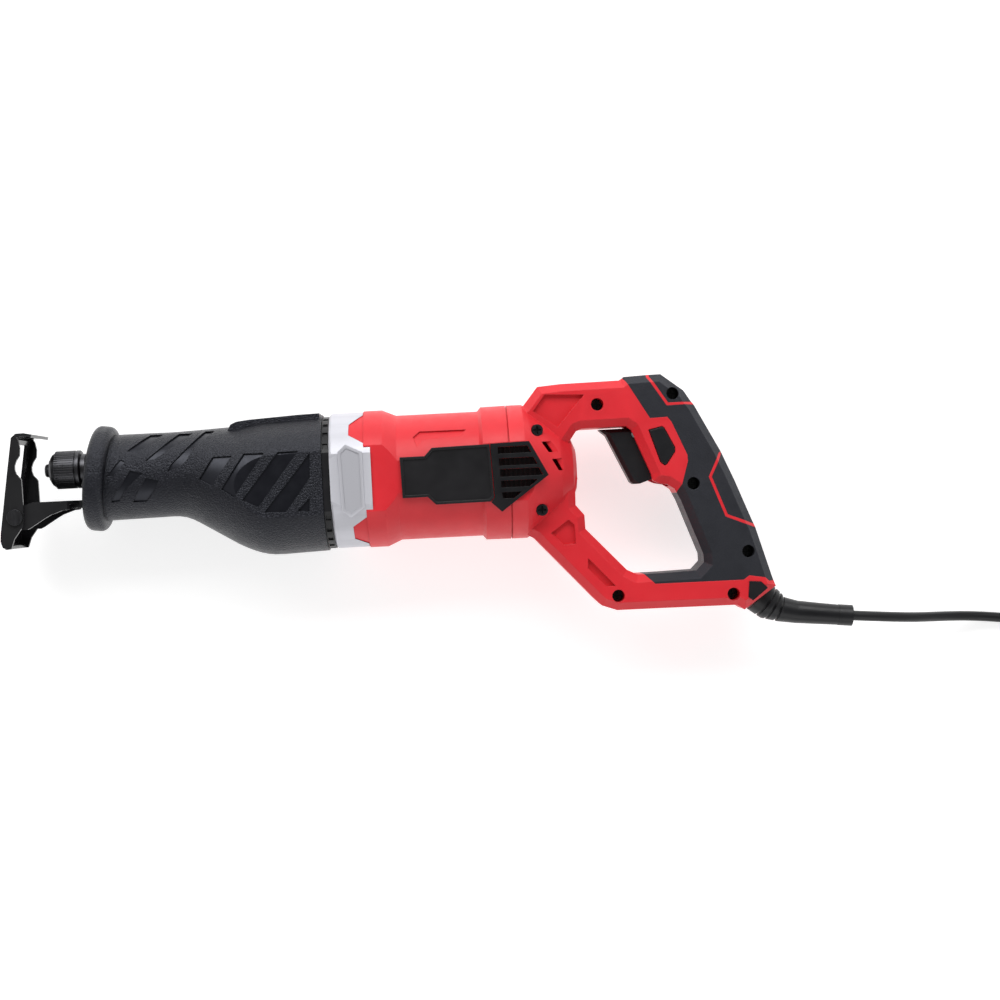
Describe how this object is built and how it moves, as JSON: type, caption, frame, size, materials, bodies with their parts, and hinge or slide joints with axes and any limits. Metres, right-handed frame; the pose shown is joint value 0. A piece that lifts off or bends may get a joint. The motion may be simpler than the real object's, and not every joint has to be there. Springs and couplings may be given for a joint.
{
  "type": "reciprocating saw",
  "caption": "Corded reciprocating saw lying on its side: D-shaped rear handle with trigger, barrel motor, rubber-booted gear case, pivoting shoe, keyless blade clamp, coiled cord.",
  "frame": {"origin": "On the resting flat (outer face of the right side's flat pads, z = 0), straight under the motor axis, at the joint between the motor housing and the rear handle.", "axes": "+X runs from the shoe to the rear handle, parallel to the motor and spindle axes. +Y is up on the saw when it is held for use. +Z points out of its left side, up as the saw lies."},
  "size_m": [0.7106, 0.1665, 0.076],
  "materials": {
    "black_steel": "gloss black paint",
    "dark_steel": "machined",
    "boot_rubber": "fine texture",
    "cast_alloy": "cast, bead-blasted",
    "bronze": "plain",
    "seal_rubber": "fine texture",
    "steel": "machined",
    "black_plastic": "fine spark texture",
    "silver_alloy": "cast, bead-blasted",
    "red_plastic": "satin moulded",
    "motor_steel": "machined",
    "copper": "plain",
    "carbon": "fine spark texture",
    "grip_rubber": "fine texture",
    "cord_rubber": "fine texture",
    "pin_brass": "plain"
  },
  "bodies": {
    "frame": {"shoe_rivet": "dark_steel", "shoe_arm": "black_steel", "boot": "boot_rubber", "gear_case": "cast_alloy", "bush_front": "bronze", "bush_rear": "bronze", "spindle_seal": "seal_rubber", "gear_post": "steel", "gear_washer": "steel", "vent_ring": "black_plastic", "front_flange": "silver_alloy", "gear_case_screws": "steel", "motor_housing": "red_plastic", "field_stack": "motor_steel", "field_coils": "copper", "bearing_front": "steel", "bearing_rear": "steel", "brush_holders": "bronze", "brushes": "carbon", "brush_springs": "steel", "side_plate_left": "black_plastic", "side_plate_right": "black_plastic", "grille_left": "black_plastic", "grille_right": "black_plastic", "handle_shell_left": "red_plastic", "handle_shell_right": "red_plastic", "grip_left": "grip_rubber", "grip_right": "grip_rubber", "corner_badge_left": "black_plastic", "corner_badge_right": "black_plastic", "handle_screws": "black_steel", "trigger_pin": "steel", "switch_body": "black_plastic", "cord_sleeve": "cord_rubber", "cord_clamp": "black_plastic", "cord": "cord_rubber", "cord_end": "cord_rubber", "cord_coil": "cord_rubber", "coil_tie": "black_plastic", "plug_body": "cord_rubber", "plug_pin_a": "pin_brass", "plug_pin_b": "pin_brass"},
    "spindle": {"spindle": "dark_steel"},
    "clamp_collar": {"clamp_collar": "dark_steel"},
    "crank_gear": {"crank_gear": "steel"},
    "armature": {"armature": "motor_steel"},
    "shoe": {"shoe": "black_steel"},
    "trigger": {"trigger": "black_plastic"},
    "lock_button": {"lock_button": "black_plastic"}
  },
  "joints": [
    {"name": "spindle_slide", "type": "slide", "parent": "frame", "child": "spindle", "axis": [1, 0, 0], "range_m": [-0.014, 0.014]},
    {"name": "collar_turn", "type": "hinge", "parent": "spindle", "child": "clamp_collar", "pos_m": [-0.265, 0.01475, 0.038], "axis": [1, 0, 0], "range_deg": [0, 60], "stiffness_Nm_per_rad": 0.05},
    {"name": "armature_spin", "type": "hinge", "parent": "frame", "child": "armature", "pos_m": [-0.057, 0, 0.038], "axis": [1, 0, 0], "continuous": true},
    {"name": "crank_spin", "type": "hinge", "parent": "frame", "child": "crank_gear", "pos_m": [-0.142, -0.01, 0.038], "axis": [0, 1, 0], "continuous": true},
    {"name": "shoe_pivot", "type": "hinge", "parent": "frame", "child": "shoe", "pos_m": [-0.2919, -0.0123, 0.038], "axis": [0, 0, 1], "range_deg": [-8, 30]},
    {"name": "trigger_pull", "type": "hinge", "parent": "frame", "child": "trigger", "pos_m": [0.0755, 0.0186, 0.038], "axis": [0, 0, 1], "range_deg": [0, 11], "stiffness_Nm_per_rad": 2},
    {"name": "lock_press", "type": "slide", "parent": "frame", "child": "lock_button", "axis": [0, 0, -1], "range_m": [0, 0.003], "stiffness_N_per_m": 400}
  ],
  "couplings": [
    {"joint": "crank_spin", "follows": "armature_spin", "ratio": 0.16667}
  ]
}
